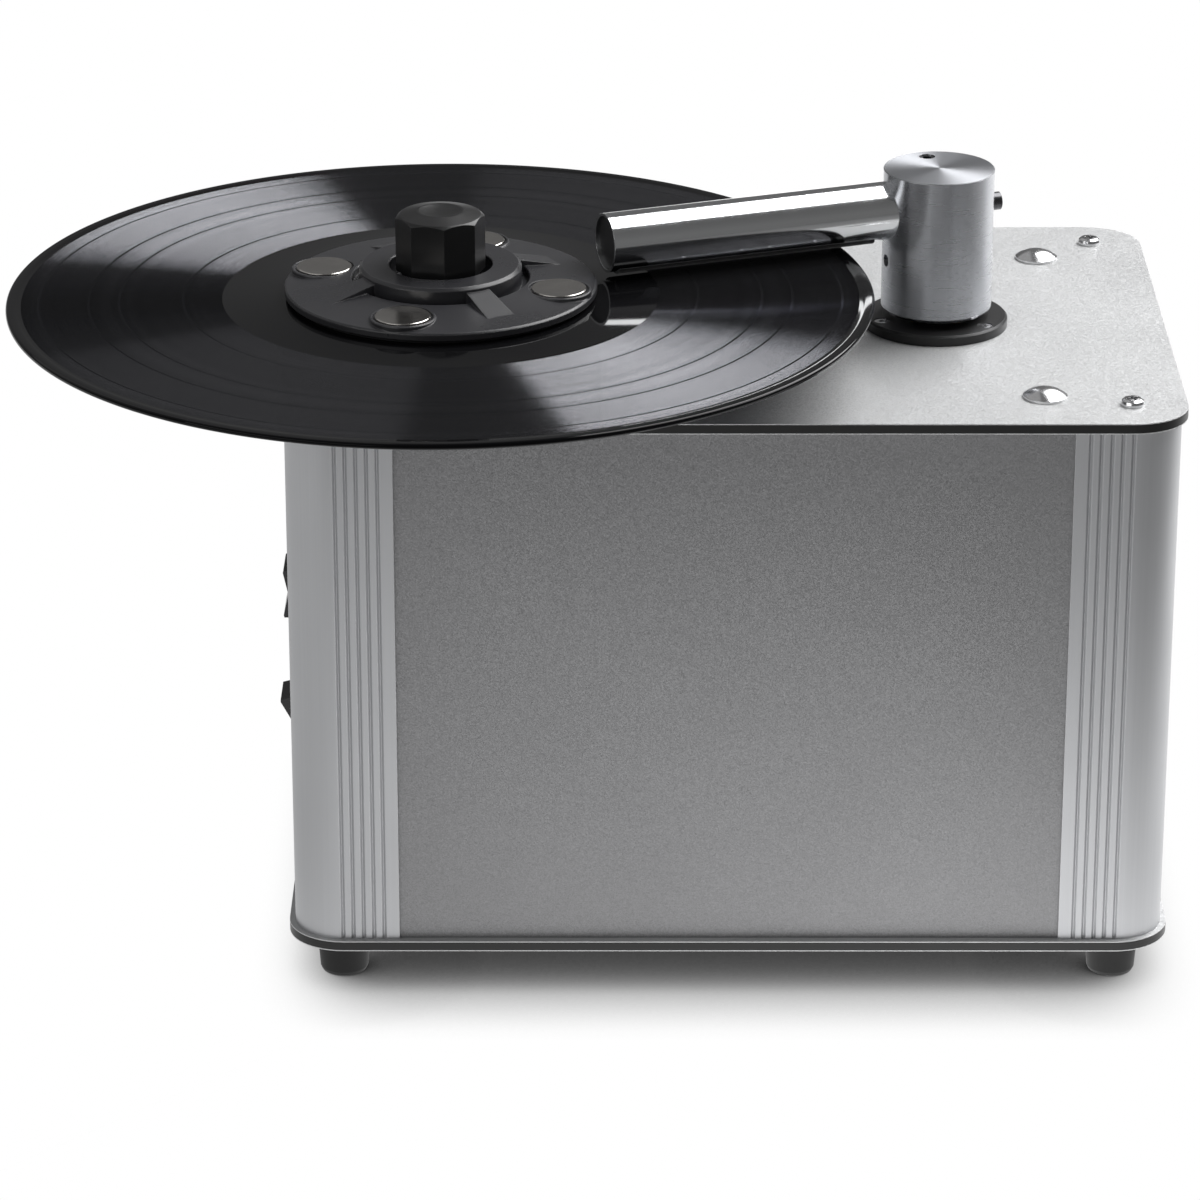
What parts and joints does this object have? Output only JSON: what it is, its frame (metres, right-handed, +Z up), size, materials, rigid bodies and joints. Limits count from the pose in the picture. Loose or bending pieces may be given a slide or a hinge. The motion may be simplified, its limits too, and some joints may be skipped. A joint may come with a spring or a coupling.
{
  "type": "record cleaning machine",
  "caption": "Vacuum record washer: a box with ribbed metal corner posts, a turntable with a record and label clamp, and a swinging suction tube on a round pillar.",
  "frame": {"origin": "on the floor, under the middle of the whole outline seen from above (the record reaches past the box at the left and the front, the drain spout past it at the rear)", "axes": "+X to the user's right, +Y from the front panel towards the rear panel, +Z up"},
  "size_m": [0.4097, 0.3413, 0.2785],
  "materials": {
    "plate_core": "satin black core",
    "plate_skin": "satin silver with a fine sparkle",
    "post_metal": "satin anodised extrusion",
    "panel_metal": "dark metallic grey with a fine sparkle",
    "rubber": "matt black",
    "bright_steel": "bright plated",
    "plain_steel": "plain",
    "black_plastic": "satin black",
    "switch_black": "semi-gloss black",
    "record_black": "grooved, with a glossy rim",
    "label_paper": "plain paper",
    "clamp_black": "satin black, moulded",
    "black_metal": "satin black",
    "turned_metal": "fine turned",
    "platter_metal": "machined",
    "spindle_steel": "ground",
    "chromed_tube": "polished",
    "felt": "black felt",
    "dark_steel": "blackened",
    "brass": "machined",
    "gear_motor_steel": "zinc plated",
    "fan_metal": "cast",
    "tank_plastic": "translucent moulding",
    "hose_rubber": "ribbed black hose"
  },
  "bodies": {
    "housing": {"bottom_plate": "plate_core", "top_plate": "plate_core", "plate_skins": "plate_skin", "post_front_left": "post_metal", "post_front_right": "post_metal", "post_rear_left": "post_metal", "post_rear_right": "post_metal", "front_panel": "panel_metal", "rear_panel": "panel_metal", "left_panel": "panel_metal", "right_panel": "panel_metal", "rubber_feet": "rubber", "foot_screws": "bright_steel", "corner_screws": "bright_steel", "dome_bolts": "bright_steel", "plate_nuts": "plain_steel", "exhaust_grille": "black_plastic", "drain_spout": "black_plastic", "motor_switch_body": "black_plastic", "suction_switch_body": "black_plastic", "mains_inlet": "black_plastic", "inlet_pins": "bright_steel", "bearing_housing": "black_metal", "bushes": "brass", "gear_motor": "gear_motor_steel", "motor_plate": "plain_steel", "motor_standoffs": "brass", "motor_screws": "plain_steel", "arm_flange": "black_metal", "flange_screws": "bright_steel", "waste_tank": "tank_plastic", "tank_lid": "tank_plastic", "suction_motor": "fan_metal", "motor_hanger": "plain_steel", "rubber_mounts": "rubber", "hoses": "hose_rubber", "exhaust_duct": "hose_rubber"},
    "collar": {"thrust_ring": "brass", "lift_spring": "plain_steel"},
    "arm": {"arm_pillar": "turned_metal", "suction_tube": "chromed_tube", "tube_plug": "black_plastic", "felt_lips": "felt", "arm_screws": "dark_steel", "arm_shaft": "plain_steel"},
    "platter": {"platter": "platter_metal", "platter_mat": "rubber", "spindle": "spindle_steel", "shaft_coupling": "platter_metal", "motor_shaft": "plain_steel", "record": "record_black", "record_label": "label_paper"},
    "clamp": {"clamp_disc": "clamp_black", "clamp_gasket": "rubber", "clamp_coins": "bright_steel"},
    "knob": {"clamp_knob": "clamp_black"},
    "motor_rocker": {"motor_rocker": "switch_black"},
    "suction_rocker": {"suction_rocker": "switch_black"},
    "fuse_drawer": {"fuse_drawer": "black_plastic"},
    "drain_plug": {"drain_plug": "rubber"}
  },
  "joints": [
    {"name": "platter_spin", "type": "hinge", "parent": "housing", "child": "platter", "pos_m": [-0.05405, -0.01985, 0], "axis": [0, 0, 1], "continuous": true},
    {"name": "clamp_lift", "type": "slide", "parent": "platter", "child": "clamp", "axis": [0, 0, 1], "range_m": [0, 0.08]},
    {"name": "knob_turn", "type": "hinge", "parent": "clamp", "child": "knob", "pos_m": [-0.05405, -0.01985, 0], "axis": [0, 0, 1], "continuous": true},
    {"name": "arm_lift", "type": "slide", "parent": "housing", "child": "collar", "axis": [0, 0, 1], "range_m": [-0.0006, 0], "stiffness_N_per_m": 1500, "springref_m": 0.004, "deforming": ["lift_spring"]},
    {"name": "arm_swing", "type": "hinge", "parent": "collar", "child": "arm", "pos_m": [0.12225, 0.04065, 0], "axis": [0, 0, 1], "range_deg": [-110, 25]},
    {"name": "motor_rocker_tilt", "type": "hinge", "parent": "housing", "child": "motor_rocker", "pos_m": [-0.10405, 0.01795, 0.1232], "axis": [0, -1, 0], "range_deg": [-8, 8]},
    {"name": "suction_rocker_tilt", "type": "hinge", "parent": "housing", "child": "suction_rocker", "pos_m": [-0.10405, 0.01795, 0.0753], "axis": [0, -1, 0], "range_deg": [-32, 0]},
    {"name": "fuse_drawer_slide", "type": "slide", "parent": "housing", "child": "fuse_drawer", "axis": [-1, 0, 0], "range_m": [0, 0.022]},
    {"name": "drain_plug_pull", "type": "slide", "parent": "housing", "child": "drain_plug", "axis": [0, 1, 0], "range_m": [0, 0.03]}
  ]
}
